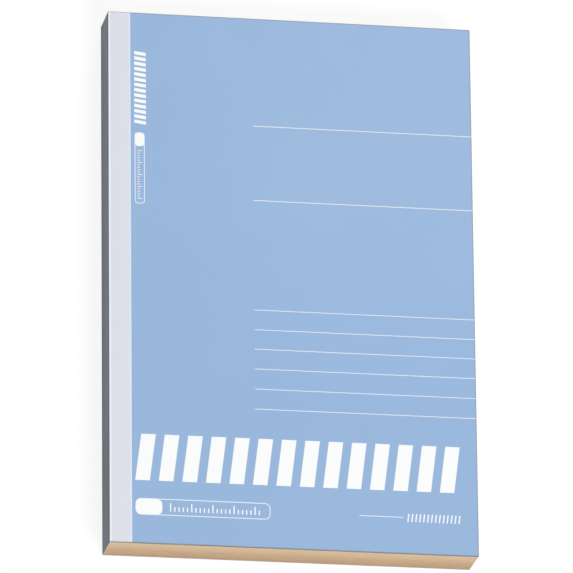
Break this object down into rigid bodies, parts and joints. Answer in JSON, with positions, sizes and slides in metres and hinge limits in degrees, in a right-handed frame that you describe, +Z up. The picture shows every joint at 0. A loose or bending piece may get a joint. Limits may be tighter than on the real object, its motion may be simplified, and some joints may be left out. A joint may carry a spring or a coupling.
{
  "type": "lined notebook",
  "caption": "Tape-bound lined notebook with light blue card covers, a pale binding strip down the spine and cream ruled leaves.",
  "frame": {"origin": "on the table, at the centre of the closed notebook's footprint, with the back cover down", "axes": "+X from the spine to the fore edge, +Y from the foot to the head, +Z up through the front cover"},
  "size_m": [0.14, 0.21, 0.018],
  "materials": {
    "cover_card": "matt coated light blue card, printed in white",
    "binding_tape": "matt pale lilac-grey paper tape",
    "spine_glue": "dull flexible binding glue",
    "leaf_paper": "uncoated cream writing paper, ruled"
  },
  "bodies": {
    "back_cover": {"back_cover": "cover_card", "tape_back_flap": "binding_tape", "tape_spine": "binding_tape", "spine_glue": "spine_glue"},
    "leaves_01": {"leaves_01_a": "leaf_paper", "leaves_01_b": "leaf_paper", "leaves_01_c": "leaf_paper", "leaves_01_d": "leaf_paper"},
    "leaves_02": {"leaves_02_a": "leaf_paper", "leaves_02_b": "leaf_paper", "leaves_02_c": "leaf_paper", "leaves_02_d": "leaf_paper"},
    "leaves_03": {"leaves_03_a": "leaf_paper", "leaves_03_b": "leaf_paper", "leaves_03_c": "leaf_paper", "leaves_03_d": "leaf_paper"},
    "leaves_04": {"leaves_04_a": "leaf_paper", "leaves_04_b": "leaf_paper", "leaves_04_c": "leaf_paper", "leaves_04_d": "leaf_paper"},
    "leaves_05": {"leaves_05_a": "leaf_paper", "leaves_05_b": "leaf_paper", "leaves_05_c": "leaf_paper", "leaves_05_d": "leaf_paper"},
    "leaves_06": {"leaves_06_a": "leaf_paper", "leaves_06_b": "leaf_paper", "leaves_06_c": "leaf_paper", "leaves_06_d": "leaf_paper"},
    "leaves_07": {"leaves_07_a": "leaf_paper", "leaves_07_b": "leaf_paper", "leaves_07_c": "leaf_paper", "leaves_07_d": "leaf_paper"},
    "leaves_08": {"leaves_08_a": "leaf_paper", "leaves_08_b": "leaf_paper", "leaves_08_c": "leaf_paper", "leaves_08_d": "leaf_paper"},
    "leaves_09": {"leaves_09_a": "leaf_paper", "leaves_09_b": "leaf_paper", "leaves_09_c": "leaf_paper", "leaves_09_d": "leaf_paper"},
    "leaves_10": {"leaves_10_a": "leaf_paper", "leaves_10_b": "leaf_paper", "leaves_10_c": "leaf_paper", "leaves_10_d": "leaf_paper"},
    "leaves_11": {"leaves_11_a": "leaf_paper", "leaves_11_b": "leaf_paper", "leaves_11_c": "leaf_paper", "leaves_11_d": "leaf_paper"},
    "leaves_12": {"leaves_12_a": "leaf_paper", "leaves_12_b": "leaf_paper", "leaves_12_c": "leaf_paper", "leaves_12_d": "leaf_paper"},
    "front_cover": {"front_cover": "cover_card", "tape_front_flap": "binding_tape"}
  },
  "joints": [
    {"name": "fan_01", "type": "hinge", "parent": "back_cover", "child": "leaves_01", "pos_m": [-0.07, 0, 0.00039], "axis": [0, -1, 0], "range_deg": [0, 1.5]},
    {"name": "fan_02", "type": "hinge", "parent": "leaves_01", "child": "leaves_02", "pos_m": [-0.07, 0, 0.00183], "axis": [0, -1, 0], "range_deg": [0, 1.5]},
    {"name": "fan_03", "type": "hinge", "parent": "leaves_02", "child": "leaves_03", "pos_m": [-0.07, 0, 0.00327], "axis": [0, -1, 0], "range_deg": [0, 1.5]},
    {"name": "fan_04", "type": "hinge", "parent": "leaves_03", "child": "leaves_04", "pos_m": [-0.07, 0, 0.0047], "axis": [0, -1, 0], "range_deg": [0, 1.5]},
    {"name": "fan_05", "type": "hinge", "parent": "leaves_04", "child": "leaves_05", "pos_m": [-0.07, 0, 0.00614], "axis": [0, -1, 0], "range_deg": [0, 1.5]},
    {"name": "fan_06", "type": "hinge", "parent": "leaves_05", "child": "leaves_06", "pos_m": [-0.07, 0, 0.00758], "axis": [0, -1, 0], "range_deg": [0, 1.5]},
    {"name": "middle_open", "type": "hinge", "parent": "leaves_06", "child": "leaves_07", "pos_m": [-0.07, 0, 0.00902], "axis": [0, -1, 0], "range_deg": [0, 163], "deforming": ["tape_spine", "spine_glue"]},
    {"name": "fan_08", "type": "hinge", "parent": "leaves_07", "child": "leaves_08", "pos_m": [-0.07, 0, 0.01045], "axis": [0, -1, 0], "range_deg": [0, 1.5]},
    {"name": "fan_09", "type": "hinge", "parent": "leaves_08", "child": "leaves_09", "pos_m": [-0.07, 0, 0.01189], "axis": [0, -1, 0], "range_deg": [0, 1.5]},
    {"name": "fan_10", "type": "hinge", "parent": "leaves_09", "child": "leaves_10", "pos_m": [-0.07, 0, 0.01333], "axis": [0, -1, 0], "range_deg": [0, 1.5]},
    {"name": "fan_11", "type": "hinge", "parent": "leaves_10", "child": "leaves_11", "pos_m": [-0.07, 0, 0.01477], "axis": [0, -1, 0], "range_deg": [0, 1.5]},
    {"name": "fan_12", "type": "hinge", "parent": "leaves_11", "child": "leaves_12", "pos_m": [-0.07, 0, 0.0162], "axis": [0, -1, 0], "range_deg": [0, 1.5]},
    {"name": "front_cover_open", "type": "hinge", "parent": "leaves_12", "child": "front_cover", "pos_m": [-0.07, 0, 0.01819], "axis": [0, -1, 0], "range_deg": [0, 180]}
  ],
  "couplings": [
    {"joint": "fan_01", "follows": "middle_open", "ratio": 0.0092},
    {"joint": "fan_02", "follows": "middle_open", "ratio": 0.0092},
    {"joint": "fan_03", "follows": "middle_open", "ratio": 0.0092},
    {"joint": "fan_04", "follows": "middle_open", "ratio": 0.0092},
    {"joint": "fan_05", "follows": "middle_open", "ratio": 0.0092},
    {"joint": "fan_06", "follows": "middle_open", "ratio": 0.0092},
    {"joint": "fan_08", "follows": "middle_open", "ratio": 0.0092},
    {"joint": "fan_09", "follows": "middle_open", "ratio": 0.0092},
    {"joint": "fan_10", "follows": "middle_open", "ratio": 0.0092},
    {"joint": "fan_11", "follows": "middle_open", "ratio": 0.0092},
    {"joint": "fan_12", "follows": "middle_open", "ratio": 0.0092}
  ]
}
